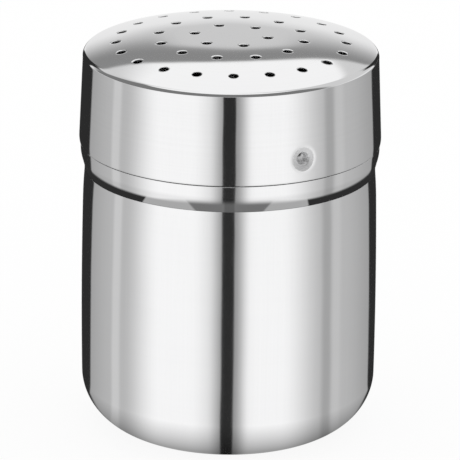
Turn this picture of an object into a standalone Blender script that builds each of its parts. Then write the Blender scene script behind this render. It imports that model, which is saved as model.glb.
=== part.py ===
"""Stainless steel spice shaker: a deep drawn can and a perforated twist lock lid.

Both pieces are thin sheet turned about +Z. The can stands on its foot ring at the
origin. Its wall swells like a barrel, draws in to a shoulder, and carries a groove,
a bead and a plain neck. The lid's skirt slips over the neck and its curled hem rests
on the bead. Two lugs pressed into the skirt pass down the entries of two slots cut in
the neck, and a short clockwise turn runs them under the slots' closed lands.
"""

import math

import bmesh
import bpy

MM = 0.001

# Turning
SEGMENTS = 60
COLUMN_ANGLE = math.tau / SEGMENTS
SHEET = 0.5 * MM
OVERRUN = 2.0 * MM

# Can wall, from the foot up
BELLY_RADIUS = 35.05 * MM
BELLY_HEIGHT = 26.0 * MM
BARREL_ARC = 1200.0 * MM
FOOT_CORNER = 13.0 * MM
FOOT_RING_WIDTH = 3.0 * MM
BASE_RECESS = 0.8 * MM
BASE_STEP_WIDTH = 1.6 * MM
SHOULDER_HEIGHT = 63.5 * MM
SHOULDER_INSET = 0.82 * MM
SHOULDER_EDGE = 0.35 * MM
DRAW_HEIGHT = 7.5 * MM
DRAW_SHARES = (0.35, 0.7, 1.0)
BARREL_STEPS = 4

# Groove, bead and neck
GROOVE_INSET = 1.25 * MM
GROOVE_SLOPE = math.radians(20.0)
BEAD_ARC = 8.0 * MM
BEAD_TOP_SLOPE = math.radians(8.0)
BEAD_CROWN = 0.2 * MM
NECK_INSET = 1.35 * MM
NECK_FILLET = 0.5 * MM

# Lid, and how it sits on the bead
NECK_CLEARANCE = 0.8 * MM
SEAT_WIDTH = 0.67 * MM
SEAT_GAP = 0.2 * MM
HEM_CURL = 0.5 * MM
HEM_HEIGHT = 1.5 * MM
HEM_STEPS = 3
SKIRT_TAPER = 0.85 * MM
RIM_HEADROOM = 10.0 * MM
LID_CORNER = 1.2 * MM
DOME_EDGE_SLOPE = math.radians(17.5)
DOME_POWER = 3
DOME_SHARES = (0.2, 0.4, 0.6, 0.75, 0.9, 1.0)

# Perforations: ring radius and the number of holes on it
HOLE_DIAMETER = 2.2 * MM
HOLE_SIDES = 12
INNER_RING = 8.7 * MM
MIDDLE_RING = 17.2 * MM
OUTER_RING = 26.9 * MM
HOLE_RINGS = ((INNER_RING, 6), (MIDDLE_RING, 12), (OUTER_RING, 20))

# Lugs pressed into the skirt, and the slots that they run in
LUG_AZIMUTHS = (math.radians(-90.0), math.radians(90.0))
DENT_RADIUS = 3.6 * MM
DENT_DEPTH = 0.4 * MM
DENT_MARGIN = 0.15 * MM
NUB_RADIUS = 1.7 * MM
NUB_FLOOR = 0.75 * MM
SLOT_CLEARANCE = 0.5 * MM
SLOT_LAND = 4.35 * MM
LOCK_TURN = math.radians(20.0)
WINDOW_SHARES = (1.0, 0.5, 0.0, -0.5, -1.0)

# Steel
CAN_COLOUR = (0.78, 0.78, 0.79)
CAN_ROUGHNESS = 0.08
LID_COLOUR = (0.80, 0.80, 0.81)
LID_ROUGHNESS = 0.07
SMOOTH_EDGE = math.radians(40.0)

# Radii that follow from the sizes above
SHOULDER_RADIUS = BELLY_RADIUS - SHOULDER_INSET
GROOVE_RADIUS = BELLY_RADIUS - GROOVE_INSET
NECK_RADIUS = BELLY_RADIUS - NECK_INSET
FILLET_RADIUS = NECK_RADIUS + NECK_FILLET
SEAT_RADIUS = NECK_RADIUS + NECK_CLEARANCE
BEAD_RADIUS = SEAT_RADIUS + SEAT_WIDTH
BEAD_TOP_RADIUS = BEAD_RADIUS - BEAD_ARC * (1 - math.cos(BEAD_TOP_SLOPE))
BEAD_FOOT_RADIUS = BEAD_RADIUS - BEAD_ARC * (1 - math.cos(GROOVE_SLOPE))
HEM_TIP_RADIUS = SEAT_RADIUS + SHEET
HEM_RADIUS = HEM_TIP_RADIUS + HEM_CURL
LID_TOP_RADIUS = HEM_RADIUS - SKIRT_TAPER
DOME_RADIUS = LID_TOP_RADIUS - LID_CORNER * (1 - math.sin(DOME_EDGE_SLOPE))
SLOT_HALF_WIDTH = NUB_RADIUS + SLOT_CLEARANCE

# Heights on the lid, from its hem
LUG_WINDOW = DENT_RADIUS + DENT_MARGIN
LUG_COLUMNS = math.ceil(LUG_WINDOW / (HEM_RADIUS * COLUMN_ANGLE))
LUG_HEIGHT = HEM_HEIGHT + LUG_WINDOW
NECK_ENGAGEMENT = LUG_HEIGHT + SLOT_HALF_WIDTH + SLOT_LAND
DOME_DROP = DOME_RADIUS * math.tan(DOME_EDGE_SLOPE) / DOME_POWER
LID_HEIGHT = NECK_ENGAGEMENT + RIM_HEADROOM + DOME_DROP
LID_CORNER_HEIGHT = LID_HEIGHT - DOME_DROP - LID_CORNER * math.cos(DOME_EDGE_SLOPE)

# Heights on the can, from its foot
SHOULDER_EDGE_HEIGHT = SHOULDER_HEIGHT - SHOULDER_EDGE
BEAD_FOOT = SHOULDER_HEIGHT + (BEAD_FOOT_RADIUS - GROOVE_RADIUS) / math.tan(GROOVE_SLOPE)
BEAD_HEIGHT = BEAD_FOOT + BEAD_ARC * math.sin(GROOVE_SLOPE)
BEAD_TOP = BEAD_HEIGHT + BEAD_ARC * math.sin(BEAD_TOP_SLOPE)
SEAT_SHARE = (BEAD_TOP_RADIUS - SEAT_RADIUS) / (BEAD_TOP_RADIUS - FILLET_RADIUS)
SEAT_HEIGHT = BEAD_TOP + BEAD_CROWN * SEAT_SHARE + SEAT_GAP
LUG_MIDDLE_HEIGHT = SEAT_HEIGHT + LUG_HEIGHT
RIM_HEIGHT = SEAT_HEIGHT + NECK_ENGAGEMENT


def arc_points(centre, radii, start, end, steps):
    """Points on an elliptical arc, by angles in degrees, without its first point."""
    points = []
    for step in range(1, steps + 1):
        angle = math.radians(start + (end - start) * step / steps)
        across = centre[0] + radii[0] * math.cos(angle)
        points.append((across, centre[1] + radii[1] * math.sin(angle)))
    return points


def barrel_radius(height):
    """Outer radius of the can's barrel at a height."""
    return BELLY_RADIUS - (height - BELLY_HEIGHT) ** 2 / (2 * BARREL_ARC)


def wall_radius(height):
    """Outer radius of the can's wall, with the last stretch drawn in to the shoulder."""
    share = max(0.0, (height - SHOULDER_EDGE_HEIGHT + DRAW_HEIGHT) / DRAW_HEIGHT)
    return barrel_radius(height) - (barrel_radius(SHOULDER_EDGE_HEIGHT) - SHOULDER_RADIUS) * share**2


def neck_points():
    """Outer side of the neck, the bead and the groove below it, from the rim down."""
    fillet_height = BEAD_TOP + BEAD_CROWN + NECK_FILLET
    face = (BEAD_RADIUS - BEAD_ARC, BEAD_HEIGHT)
    top, foot = math.degrees(BEAD_TOP_SLOPE), -math.degrees(GROOVE_SLOPE)
    points = [(NECK_RADIUS, RIM_HEIGHT), (NECK_RADIUS, fillet_height)]
    points += arc_points((FILLET_RADIUS, fillet_height), (NECK_FILLET, NECK_FILLET), 180, 270, 3)
    points.append((BEAD_TOP_RADIUS, BEAD_TOP))
    points += arc_points(face, (BEAD_ARC, BEAD_ARC), top, foot, 6)
    points.append((GROOVE_RADIUS, SHOULDER_HEIGHT))
    return points


def wall_points():
    """Outer side of the can's wall, from the shoulder down to the foot's corner."""
    draw_bottom = SHOULDER_EDGE_HEIGHT - DRAW_HEIGHT
    heights = [SHOULDER_EDGE_HEIGHT]
    heights += [SHOULDER_EDGE_HEIGHT - DRAW_HEIGHT * share for share in DRAW_SHARES]
    for step in range(1, BARREL_STEPS + 1):
        heights.append(draw_bottom + (FOOT_CORNER - draw_bottom) * step / BARREL_STEPS)
    return [(wall_radius(height), height) for height in heights]


def foot_points():
    """Outer side of the foot's corner, its standing ring and the raised middle of the base."""
    ring_radius = wall_radius(FOOT_CORNER) - FOOT_CORNER
    ring_inside = ring_radius - FOOT_RING_WIDTH
    points = arc_points((ring_radius, FOOT_CORNER), (FOOT_CORNER, FOOT_CORNER), 0, -90, 7)
    points.append((ring_inside, 0.0))
    points.append((ring_inside - BASE_STEP_WIDTH, BASE_RECESS))
    points.append((0.0, BASE_RECESS))
    return points


def dome_height(radius):
    """Height of the lid's dome above its hem at a radius."""
    return LID_HEIGHT - DOME_DROP * (radius / DOME_RADIUS) ** DOME_POWER


def skirt_radius(height):
    """Outer radius of the lid's tapered skirt at a height above the hem."""
    share = (height - HEM_HEIGHT) / (LID_CORNER_HEIGHT - HEM_HEIGHT)
    return HEM_RADIUS - SKIRT_TAPER * share


def lid_points():
    """Outer side of the lid, from the crown to the hem's tip."""
    corner = (LID_TOP_RADIUS - LID_CORNER, LID_CORNER_HEIGHT)
    slope = math.degrees(DOME_EDGE_SLOPE)
    points = [(0.0, LID_HEIGHT)]
    points += [(DOME_RADIUS * share, dome_height(DOME_RADIUS * share)) for share in DOME_SHARES]
    points += arc_points(corner, (LID_CORNER, LID_CORNER), 90 - slope, 0, 4)
    heights = [LUG_HEIGHT + LUG_WINDOW * share for share in WINDOW_SHARES]
    points += [(skirt_radius(height), height) for height in heights]
    points += arc_points((HEM_TIP_RADIUS, HEM_HEIGHT), (HEM_CURL, HEM_HEIGHT), 0, -90, HEM_STEPS)
    return points


def turned_shell(outline, first_angle):
    """Turn an outline, top to bottom, about +Z. Returns the bmesh and its rows of vertices."""
    shell = bmesh.new()
    rows = []
    for radius, height in outline:
        row = []
        for column in range(SEGMENTS if radius > 0 else 1):
            angle = first_angle + COLUMN_ANGLE * column
            row.append(shell.verts.new((radius * math.cos(angle), radius * math.sin(angle), height)))
        rows.append(row)
    for upper, lower in zip(rows[:-1], rows[1:]):
        for column in range(SEGMENTS):
            after = (column + 1) % SEGMENTS
            corners = [upper[column % len(upper)], lower[column % len(lower)]]
            corners += [lower[after % len(lower)], upper[after % len(upper)]]
            shell.faces.new(list(dict.fromkeys(corners)))
    return shell, rows


def smooth_step(share):
    """An S curve from 0 to 1."""
    share = min(1.0, max(0.0, share))
    return share * share * (3 - 2 * share)


def lug_depth(distance):
    """How far the skirt is pressed in at a distance from a lug's middle."""
    full = skirt_radius(LUG_HEIGHT) - NECK_RADIUS
    dent = DENT_DEPTH * smooth_step(1 - distance / DENT_RADIUS)
    nub = (full - DENT_DEPTH) * smooth_step((NUB_RADIUS - distance) / (NUB_RADIUS - NUB_FLOOR))
    return dent + nub


def lug_ring(shell, azimuth, distance, directions):
    """Vertices of one ring round a lug's middle, pressed in to the lug's depth."""
    ring = []
    for direction in directions:
        height = LUG_HEIGHT + distance * math.sin(direction)
        radius = skirt_radius(height) - lug_depth(distance)
        angle = azimuth + distance * math.cos(direction) / skirt_radius(LUG_HEIGHT)
        ring.append(shell.verts.new((radius * math.cos(angle), radius * math.sin(angle), height)))
    return ring


def window_border(first_row, last_row):
    """The lug window's border as (column step, row), anticlockwise from its low right corner."""
    border = [(LUG_COLUMNS, row) for row in range(last_row, first_row, -1)]
    border += [(step, first_row) for step in range(LUG_COLUMNS, -LUG_COLUMNS, -1)]
    border += [(-LUG_COLUMNS, row) for row in range(first_row, last_row)]
    border += [(step, last_row) for step in range(-LUG_COLUMNS, LUG_COLUMNS)]
    return border


def press_lug(shell, rows, azimuth):
    """Swap a window of the skirt's faces for rings that follow a pressed lug."""
    last_row = len(rows) - 1 - HEM_STEPS
    first_row = last_row + 1 - len(WINDOW_SHARES)
    middle = round(azimuth / COLUMN_ANGLE)
    inside = []
    for row in rows[first_row + 1:last_row]:
        inside += [row[(middle + step) % SEGMENTS] for step in range(1 - LUG_COLUMNS, LUG_COLUMNS)]
    bmesh.ops.delete(shell, geom=inside, context="VERTS")
    border = window_border(first_row, last_row)
    directions = [math.atan2(WINDOW_SHARES[row - first_row], step / LUG_COLUMNS) for step, row in border]
    ring = [rows[row][(middle + step) % SEGMENTS] for step, row in border]
    slope_middle = (DENT_RADIUS + NUB_RADIUS) / 2
    nub_middle = (NUB_RADIUS + NUB_FLOOR) / 2
    for distance in (DENT_RADIUS, slope_middle, NUB_RADIUS, nub_middle, NUB_FLOOR):
        inner = lug_ring(shell, azimuth, distance, directions)
        for step in range(len(ring)):
            shell.faces.new((ring[step - 1], ring[step], inner[step], inner[step - 1]))
        ring = inner
    shell.faces.new(ring)


def steel(name, colour, roughness):
    """A polished stainless steel material."""
    material = bpy.data.materials.new(name)
    material.use_nodes = True
    shader = material.node_tree.nodes["Principled BSDF"]
    shader.inputs["Base Color"].default_value = (*colour, 1.0)
    shader.inputs["Metallic"].default_value = 1.0
    shader.inputs["Roughness"].default_value = roughness
    return material


def add_object(name, shape, material=None):
    """Turn a bmesh into an object of the scene, shaded smooth across its gentle edges."""
    mesh = bpy.data.meshes.new(name)
    shape.to_mesh(mesh)
    shape.free()
    mesh.shade_smooth()
    mesh.set_sharp_from_angle(angle=SMOOTH_EDGE)
    if material:
        mesh.materials.append(material)
    piece = bpy.data.objects.new(name, mesh)
    bpy.context.scene.collection.objects.link(piece)
    return piece


def thicken(piece):
    """Give a turned shell the sheet's thickness, inwards."""
    wall = piece.modifiers.new("sheet", "SOLIDIFY")
    wall.thickness = SHEET
    wall.offset = -1.0
    wall.use_even_offset = True


def cut_away(piece, cutter):
    """Subtract a hidden cutter that moves with the piece."""
    cutter.parent = piece
    cutter.hide_render = True
    cutter.display_type = "WIRE"
    cut = piece.modifiers.new(cutter.name, "BOOLEAN")
    cut.operation = "DIFFERENCE"
    cut.solver = "EXACT"
    cut.object = cutter


def slot_pattern():
    """Flat outline of one slot as (arc length, height): an entry from the rim and a run to its left."""
    run = NECK_RADIUS * LOCK_TURN
    half = SLOT_HALF_WIDTH
    top = RIM_HEIGHT + OVERRUN
    points = [(half, top), (half, LUG_MIDDLE_HEIGHT)]
    points += arc_points((0.0, LUG_MIDDLE_HEIGHT), (half, half), 0, -90, 4)
    points.append((-run, LUG_MIDDLE_HEIGHT - half))
    points += arc_points((-run, LUG_MIDDLE_HEIGHT), (half, half), -90, -270, 8)
    points += [(-half, LUG_MIDDLE_HEIGHT + half), (-half, top)]
    return points


def slot_cutter(azimuth):
    """A slot's pattern drawn flat, cut into columns, thickened and rolled round the neck."""
    pattern = bmesh.new()
    corners = [pattern.verts.new((across, 0.0, height)) for across, height in slot_pattern()]
    pattern.faces.new(corners)
    columns = math.ceil((LOCK_TURN + SLOT_HALF_WIDTH / NECK_RADIUS) / COLUMN_ANGLE)
    for column in range(-columns, 1):
        place = (NECK_RADIUS * COLUMN_ANGLE * column, 0.0, 0.0)
        everything = pattern.verts[:] + pattern.edges[:] + pattern.faces[:]
        bmesh.ops.bisect_plane(pattern, geom=everything, plane_co=place, plane_no=(1.0, 0.0, 0.0))
    walls = bmesh.ops.extrude_face_region(pattern, geom=pattern.faces[:])
    for vertex in (item for item in walls["geom"] if isinstance(item, bmesh.types.BMVert)):
        vertex.co.y = 2 * OVERRUN
    for vertex in pattern.verts:
        radius = NECK_RADIUS - OVERRUN + vertex.co.y
        angle = azimuth + vertex.co.x / NECK_RADIUS
        vertex.co = (radius * math.cos(angle), radius * math.sin(angle), vertex.co.z)
    bmesh.ops.recalc_face_normals(pattern, faces=pattern.faces[:])
    return add_object(f"slot_cutter_{round(math.degrees(azimuth))}", pattern)


def hole_cutter():
    """All the lid's perforations as one group of pins. The lugs lie between two outer holes."""
    outer_pitch = math.tau / HOLE_RINGS[-1][1]
    first = LUG_AZIMUTHS[0] - outer_pitch / 2
    radius = HOLE_DIAMETER / 2
    depth = 2 * (OVERRUN + SHEET)
    pins = bmesh.new()
    for ring_radius, count in HOLE_RINGS:
        for hole in range(count):
            angle = first + math.tau * hole / count
            place = (ring_radius * math.cos(angle), ring_radius * math.sin(angle), dome_height(ring_radius))
            pin = bmesh.ops.create_cone(
                pins, cap_ends=True, segments=HOLE_SIDES, radius1=radius, radius2=radius, depth=depth)
            bmesh.ops.translate(pins, verts=pin["verts"], vec=place)
    return add_object("hole_cutter", pins)


def make_can():
    """The deep drawn can, turned so that no column's edge lies along an edge of a slot."""
    shell, _ = turned_shell(neck_points() + wall_points() + foot_points(), COLUMN_ANGLE / 2)
    can = add_object("shaker_can", shell, steel("can_steel", CAN_COLOUR, CAN_ROUGHNESS))
    thicken(can)
    for azimuth in LUG_AZIMUTHS:
        cut_away(can, slot_cutter(azimuth))


def make_lid():
    """The perforated lid, with its origin on the can's axis at the level of its hem."""
    shell, rows = turned_shell(lid_points(), 0.0)
    for azimuth in LUG_AZIMUTHS:
        press_lug(shell, rows, azimuth)
    lid = add_object("perforated_lid", shell, steel("lid_steel", LID_COLOUR, LID_ROUGHNESS))
    lid.location = (0.0, 0.0, SEAT_HEIGHT)
    thicken(lid)
    cut_away(lid, hole_cutter())


def main():
    """Clear the scene and build the shaker."""
    for old in list(bpy.data.objects):
        bpy.data.objects.remove(old)
    make_can()
    make_lid()


main()
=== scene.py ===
"""Looks for a polished steel spice shaker: a drawn can and its perforated twist lock lid.

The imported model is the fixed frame. Each class below builds one piece as a fine mesh on
the sizes of the solid that it stands for, dresses it and lets it ride on its body. A few
turned edges are crisper than the solid's.
"""

import logging
import math
from collections.abc import Iterable, Sequence
from dataclasses import dataclass, field
from enum import Enum

import bmesh
import bpy
from bmesh.types import BMesh, BMVert
from bpy.types import Material, Mesh, NodeSocket, NodeTree, Object
from mathutils import Euler, Matrix, Vector


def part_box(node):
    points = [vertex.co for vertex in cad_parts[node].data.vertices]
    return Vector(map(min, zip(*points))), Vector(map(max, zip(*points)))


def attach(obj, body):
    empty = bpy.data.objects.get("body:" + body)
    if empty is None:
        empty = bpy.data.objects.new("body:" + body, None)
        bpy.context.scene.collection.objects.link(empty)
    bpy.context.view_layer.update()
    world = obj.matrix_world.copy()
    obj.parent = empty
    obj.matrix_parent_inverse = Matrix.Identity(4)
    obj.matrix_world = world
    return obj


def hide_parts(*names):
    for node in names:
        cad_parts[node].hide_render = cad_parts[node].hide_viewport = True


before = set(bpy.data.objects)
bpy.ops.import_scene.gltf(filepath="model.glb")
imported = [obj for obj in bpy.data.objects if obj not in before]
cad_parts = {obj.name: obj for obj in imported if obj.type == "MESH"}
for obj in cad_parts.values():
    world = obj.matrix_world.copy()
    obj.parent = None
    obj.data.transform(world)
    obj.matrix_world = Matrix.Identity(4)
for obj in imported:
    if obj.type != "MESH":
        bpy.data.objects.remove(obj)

MM = 0.001
LOG = logging.getLogger("spice_shaker")

FLANK = 1.5
"""How far the flat beside a rounded corner is held, as a multiple of the rounding's reach."""
ROUND_STEPS = 5
"""Number of faces across a rounded corner."""
MITRE_LIMIT = 0.5
"""Least cosine by which a corner of the sheet's other side is drawn out."""
SHARP_ANGLE = math.radians(35.0)
"""Faces that meet at more than this angle are shaded apart."""

Point = tuple[float, float]
"""Radius and height."""
Place = tuple[float, float, float]
"""X, Y and Z."""
Span = tuple[float, float]
"""Where a rise starts, and where it ends."""


@dataclass(frozen=True)
class Knot:
    """A point of an outline, and how far the rounding of its corner reaches."""

    place: Point
    bend: float = 0.0


class Body(Enum):
    """The frame's moving groups that pieces ride on."""

    CAN = "can"
    LID = "lid"


class Node(Enum):
    """The solids that the fine pieces stand for."""

    CAN = "shaker_can"
    LID = "perforated_lid"


class Slot(Enum):
    """The record's material slots."""

    CAN = "can_steel"
    LID = "lid_steel"


# Node trees


class Graph:
    """A node tree that is built by short calls."""

    def __init__(self, tree: NodeTree) -> None:
        """Take over an empty tree."""
        self.tree = tree

    def add(
        self, kind: str, settings: dict | None = None, inputs: dict | None = None
    ) -> bpy.types.Node:
        """Make any node.

        Args:
            kind: The node's type, such as ShaderNodeBump.
            settings: Properties of the node, set before its sockets.
            inputs: Values, sockets or terms by socket name or number.

        Returns:
            The new node.
        """
        node = self.tree.nodes.new(kind)
        for name, value in (settings or {}).items():
            setattr(node, name, value)
        for key, value in (inputs or {}).items():
            source = value.socket if isinstance(value, Term) else value
            if isinstance(source, NodeSocket):
                self.tree.links.new(source, node.inputs[key])
            else:
                node.inputs[key].default_value = source
        return node

    def term(
        self,
        kind: str,
        settings: dict | None = None,
        inputs: dict | None = None,
        output: str | int = 0,
    ) -> "Term":
        """Make any node, and return one of its outputs by name or number."""
        return Term(self, self.add(kind, settings, inputs).outputs[output])

    def vector(self, operation: str, inputs: dict) -> "Term":
        """A Vector Math node's result."""
        return self.term("ShaderNodeVectorMath", {"operation": operation}, inputs)

    def spin(self, vector: "Term", angle: "Term | float") -> "Term":
        """A vector turned about Z by an angle in radians."""
        inputs = {"Vector": vector, "Angle": angle}
        return self.term("ShaderNodeVectorRotate", {"rotation_type": "Z_AXIS"}, inputs)

    def parts(self, vector: "Term") -> tuple["Term", "Term", "Term"]:
        """The X, Y and Z of a vector."""
        node = self.add("ShaderNodeSeparateXYZ", None, {0: vector})
        return tuple(Term(self, node.outputs[axis]) for axis in range(3))

    def joined(self, **parts: "Term | float") -> "Term":
        """A vector from its X, Y and Z, where those that aren't given are zero."""
        return self.term("ShaderNodeCombineXYZ", None, parts)


class Term:
    """A socket that Python's operators turn into Math nodes."""

    def __init__(self, graph: Graph, socket: NodeSocket) -> None:
        """Wrap an output of a graph."""
        self.graph = graph
        self.socket = socket

    def math(self, operation: str, *others: "Term | float") -> "Term":
        """A Math node on this term, with any other inputs after it."""
        inputs = dict(enumerate((self, *others)))
        return self.graph.term("ShaderNodeMath", {"operation": operation}, inputs)

    def after(self, number: float, operation: str) -> "Term":
        """A Math node on a plain number, with this term as its second input."""
        return self.graph.term("ShaderNodeMath", {"operation": operation}, {0: number, 1: self})

    def __add__(self, other: "Term | float") -> "Term":
        """Sum."""
        return self.math("ADD", other)

    def __radd__(self, other: float) -> "Term":
        """Sum with a plain number in front."""
        return self.after(other, "ADD")

    def __sub__(self, other: "Term | float") -> "Term":
        """Difference."""
        return self.math("SUBTRACT", other)

    def __rsub__(self, other: float) -> "Term":
        """Difference from a plain number."""
        return self.after(other, "SUBTRACT")

    def __mul__(self, other: "Term | float") -> "Term":
        """Product."""
        return self.math("MULTIPLY", other)

    def __rmul__(self, other: float) -> "Term":
        """Product with a plain number in front."""
        return self.after(other, "MULTIPLY")

    def __truediv__(self, other: "Term | float") -> "Term":
        """Quotient."""
        return self.math("DIVIDE", other)

    def __rtruediv__(self, other: float) -> "Term":
        """Quotient of a plain number."""
        return self.after(other, "DIVIDE")

    def __mod__(self, other: "Term | float") -> "Term":
        """Remainder."""
        return self.math("MODULO", other)

    def __abs__(self) -> "Term":
        """Size without its sign."""
        return self.math("ABSOLUTE")

    def hypot(self, other: "Term") -> "Term":
        """Length of the vector whose two parts are this term and another."""
        return (self * self + other * other).math("SQRT")

    def heading(self, ahead: "Term") -> "Term":
        """Azimuth in degrees of a direction that goes this far across, and so far ahead."""
        return self.math("ARCTAN2", ahead).math("DEGREES")

    def held(self, low: float, high: float) -> "Term":
        """The term, kept between two limits."""
        return self.math("MINIMUM", high).math("MAXIMUM", low)

    def rise(self, low: float, high: float) -> "Term":
        """A smooth rise from 0 to 1.

        Args:
            low: Where the rise starts.
            high: Where it ends. A high below low makes it a fall.

        Returns:
            The share of the way, eased at both ends.
        """
        ends = (low, high, 0.0, 1.0) if low < high else (high, low, 1.0, 0.0)
        inputs = {"Value": self} | dict(zip(("From Min", "From Max", "To Min", "To Max"), ends))
        return self.graph.term("ShaderNodeMapRange", {"interpolation_type": "SMOOTHSTEP"}, inputs)


def between(start: Term | float, end: Term | float, share: Term) -> Term:
    """A value that goes from start to end by a share of the way."""
    return start + (end - start) * share


def emptied(owner: Material | bpy.types.World) -> Graph:
    """Clear the nodes of a material or world.

    Args:
        owner: The new material or world.

    Returns:
        Its graph, ready to fill.
    """
    owner.use_nodes = True
    owner.node_tree.nodes.clear()
    return Graph(owner.node_tree)


# Meshes


def spread(start: float, end: float, steps: int) -> list[float]:
    """Even values from start to end, without the first one."""
    return [start + (end - start) * step / steps for step in range(1, steps + 1)]


def ease(share: float) -> float:
    """An S curve from 0 to 1, which stays flat outside them."""
    share = min(1.0, max(0.0, share))
    return share * share * (3 - 2 * share)


def arc(centre: Point, radii: Point, start: float, end: float, steps: int) -> list[Point]:
    """Points on an elliptical arc, without its first point.

    Args:
        centre: Radius and height of the arc's centre.
        radii: Its half sizes.
        start: First angle in degrees.
        end: Last angle in degrees.
        steps: Number of points.

    Returns:
        The points, as (radius, height).
    """
    points = []
    for angle in spread(start, end, steps):
        turn = math.radians(angle)
        out, up = radii[0] * math.cos(turn), radii[1] * math.sin(turn)
        points.append((centre[0] + out, centre[1] + up))
    return points


def polar(radius: float, angle: float, height: float) -> Place:
    """A point from its radius, azimuth and height."""
    return radius * math.cos(angle), radius * math.sin(angle), height


def circle(columns: int) -> list[float]:
    """Even angles round the axis."""
    return [math.tau * column / columns for column in range(columns)]


def soften(knots: Sequence[Knot]) -> list[Point]:
    """Round the corners of an outline.

    Args:
        knots: Its points, with the reach of each corner's rounding.

    Returns:
        The points, with a few along each rounded corner.
    """
    points = []
    for index, knot in enumerate(knots):
        if not knot.bend:
            points.append(knot.place)
            continue
        here = Vector(knot.place)
        ways = [(Vector(knots[index + step].place) - here).normalized() for step in (-1, 1)]
        start, end = (here + way * knot.bend for way in ways)
        points.append(tuple(here.lerp(start, FLANK)))
        for share in [0.0] + spread(0.0, 1.0, ROUND_STEPS):
            points.append(tuple(start.lerp(here, share).lerp(here.lerp(end, share), share)))
        points.append(tuple(here.lerp(end, FLANK)))
    return points


def inner_side(outline: Sequence[Point], thickness: float) -> list[Point]:
    """The sheet's other side.

    Args:
        outline: The outer side, with the outside on the left of the way that it runs.
        thickness: The sheet's thickness.

    Returns:
        A point of the inner side for each point of the outer one.
    """
    normals = []
    for first, second in zip(outline[:-1], outline[1:]):
        along = Vector((second[0] - first[0], second[1] - first[1])).normalized()
        normals.append(Vector((-along.y, along.x)))
    inner = []
    for place, before, after in zip(outline, normals[:1] + normals, normals + normals[-1:]):
        middle = (before + after).normalized()
        reach = thickness / max(MITRE_LIMIT, middle.dot(after))
        inner.append((max(0.0, place[0] - middle.x * reach), place[1] - middle.y * reach))
    return inner


def polyline(name: str, points: Sequence[Point]) -> Mesh:
    """A chain of edges in the XZ plane.

    Args:
        name: The mesh's name.
        points: Its (radius, height) points.

    Returns:
        A mesh without faces.
    """
    mesh = bpy.data.meshes.new(name)
    chain = [(index, index + 1) for index in range(len(points) - 1)]
    mesh.from_pydata([(radius, 0.0, height) for radius, height in points], chain, [])
    return mesh


def written(name: str, shape: BMesh) -> Mesh:
    """Write a shape to a new mesh, and free it.

    Args:
        name: The mesh's name.
        shape: The shape, which can't be used afterwards.

    Returns:
        The mesh.
    """
    mesh = bpy.data.meshes.new(name)
    shape.to_mesh(mesh)
    shape.free()
    return mesh


def new_object(name: str, data: Mesh | bpy.types.Camera) -> Object:
    """Put an object in the scene, at the origin.

    Args:
        name: Its name.
        data: Its mesh or camera.

    Returns:
        The object.
    """
    thing = bpy.data.objects.new(name, data)
    bpy.context.scene.collection.objects.link(thing)
    return thing


def plain_mesh(thing: Object, name: str) -> Mesh:
    """Turn an object with its modifiers into a plain mesh, and remove the object.

    Args:
        thing: The object to evaluate.
        name: The new mesh's name.

    Returns:
        The mesh.
    """
    bpy.context.view_layer.update()
    evaluated = thing.evaluated_get(bpy.context.evaluated_depsgraph_get())
    mesh = bpy.data.meshes.new_from_object(evaluated)
    bpy.data.objects.remove(thing)
    mesh.name = name
    return mesh


def grown(name: str, tree: NodeTree, base: Mesh, inputs: dict) -> Mesh:
    """Run a geometry tree once.

    Args:
        name: The new mesh's name.
        tree: The tree to run.
        base: The mesh that enters it.
        inputs: Values of its inputs, by name.

    Returns:
        The result as a plain mesh.
    """
    holder = new_object(f"{name}_holder", base)
    modifier = holder.modifiers.new("grow", "NODES")
    modifier.node_group = tree
    for item in tree.interface.items_tree:
        if item.item_type == "SOCKET" and item.in_out == "INPUT" and item.name in inputs:
            modifier[item.identifier] = inputs[item.name]
    return plain_mesh(holder, name)


def open_tree(name: str, sockets: Iterable[tuple[str, str]]) -> tuple[Graph, dict[str, Term]]:
    """Start a geometry tree.

    Args:
        name: The tree's name.
        sockets: Name and type of each input after the geometry.

    Returns:
        The graph, and its inputs by name.
    """
    tree = bpy.data.node_groups.new(name, "GeometryNodeTree")
    tree.interface.new_socket("Geometry", in_out="OUTPUT", socket_type="NodeSocketGeometry")
    for socket, kind in [("Geometry", "NodeSocketGeometry"), *sockets]:
        tree.interface.new_socket(socket, in_out="INPUT", socket_type=kind)
    graph = Graph(tree)
    given = graph.add("NodeGroupInput").outputs
    return graph, {socket.name: Term(graph, socket) for socket in given if socket.name}


def close_tree(graph: Graph, shape: Term, material: Term) -> NodeTree:
    """End a geometry tree in real, dressed geometry.

    Args:
        graph: The graph to end.
        shape: The geometry so far.
        material: The input that holds the material.

    Returns:
        The finished tree.
    """
    real = graph.term("GeometryNodeRealizeInstances", None, {"Geometry": shape})
    dressing = {"Geometry": real, "Material": material}
    dressed = graph.term("GeometryNodeSetMaterial", None, dressing)
    graph.add("NodeGroupOutput", None, {"Geometry": dressed})
    return graph.tree


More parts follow.
